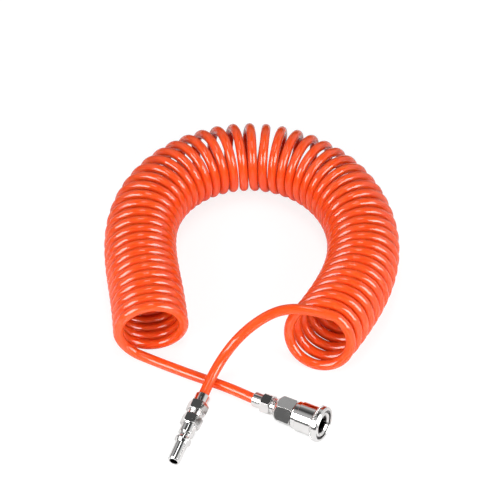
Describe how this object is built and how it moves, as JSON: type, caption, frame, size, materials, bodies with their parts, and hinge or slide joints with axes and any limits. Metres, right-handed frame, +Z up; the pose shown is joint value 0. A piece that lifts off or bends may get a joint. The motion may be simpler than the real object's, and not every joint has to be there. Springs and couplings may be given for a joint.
{
  "type": "coiled air hose",
  "caption": "Coiled orange air hose lying in a horseshoe, with a quick-connect socket on one tail and its plug on the other.",
  "frame": {"origin": "middle of the bounding box, on the floor that the coil lies on", "axes": "+Z up, +X to the right and +Y to the back as one looks into the open side of the horseshoe, where the couplers lie"},
  "size_m": [0.239, 0.336, 0.0573],
  "materials": {
    "hose": "gloss",
    "plated_steel": "bright",
    "spring_steel": "satin",
    "ball_steel": "polished",
    "rubber": "matte"
  },
  "bodies": {
    "hose": {"hose_coil": "hose", "hose_tail_socket": "hose", "hose_tail_plug": "hose", "socket_nut": "plated_steel", "socket_adapter": "plated_steel", "body_gasket": "rubber", "socket_body": "plated_steel", "nose_packing": "rubber", "retaining_ring": "spring_steel", "sleeve_spring": "spring_steel", "valve_spring": "spring_steel", "plug_nut": "plated_steel", "plug_body": "plated_steel"},
    "sleeve": {"sleeve": "plated_steel"},
    "valve": {"valve": "plated_steel", "valve_seal": "rubber"},
    "ball_1": {"ball_1": "ball_steel"},
    "ball_2": {"ball_2": "ball_steel"},
    "ball_3": {"ball_3": "ball_steel"},
    "ball_4": {"ball_4": "ball_steel"},
    "ball_5": {"ball_5": "ball_steel"},
    "ball_6": {"ball_6": "ball_steel"}
  },
  "joints": [
    {"name": "sleeve_slide", "type": "slide", "parent": "hose", "child": "sleeve", "axis": [-0.8507, 0.5112, -0.1224], "range_m": [0, 0.0043], "stiffness_N_per_m": 350, "springref_m": -0.01, "deforming": ["sleeve_spring"]},
    {"name": "valve_slide", "type": "slide", "parent": "hose", "child": "valve", "axis": [-0.8507, 0.5112, -0.1224], "range_m": [0, 0.004], "stiffness_N_per_m": 2600, "springref_m": -0.002, "deforming": ["valve_spring"]},
    {"name": "ball_1_slide", "type": "slide", "parent": "hose", "child": "ball_1", "axis": [0.1049, -0.063, -0.9925], "range_m": [0, 0.0015]},
    {"name": "ball_2_slide", "type": "slide", "parent": "hose", "child": "ball_2", "axis": [0.4985, 0.7108, -0.4962], "range_m": [0, 0.0015]},
    {"name": "ball_3_slide", "type": "slide", "parent": "hose", "child": "ball_3", "axis": [0.3936, 0.7738, 0.4962], "range_m": [0, 0.0015]},
    {"name": "ball_4_slide", "type": "slide", "parent": "hose", "child": "ball_4", "axis": [-0.1049, 0.063, 0.9925], "range_m": [0, 0.0015]},
    {"name": "ball_5_slide", "type": "slide", "parent": "hose", "child": "ball_5", "axis": [-0.4985, -0.7108, 0.4962], "range_m": [0, 0.0015]},
    {"name": "ball_6_slide", "type": "slide", "parent": "hose", "child": "ball_6", "axis": [-0.3936, -0.7738, -0.4962], "range_m": [0, 0.0015]}
  ],
  "couplings": [
    {"joint": "ball_1_slide", "follows": "sleeve_slide", "ratio": 0.33721},
    {"joint": "ball_2_slide", "follows": "sleeve_slide", "ratio": 0.33721},
    {"joint": "ball_3_slide", "follows": "sleeve_slide", "ratio": 0.33721},
    {"joint": "ball_4_slide", "follows": "sleeve_slide", "ratio": 0.33721},
    {"joint": "ball_5_slide", "follows": "sleeve_slide", "ratio": 0.33721},
    {"joint": "ball_6_slide", "follows": "sleeve_slide", "ratio": 0.33721}
  ]
}
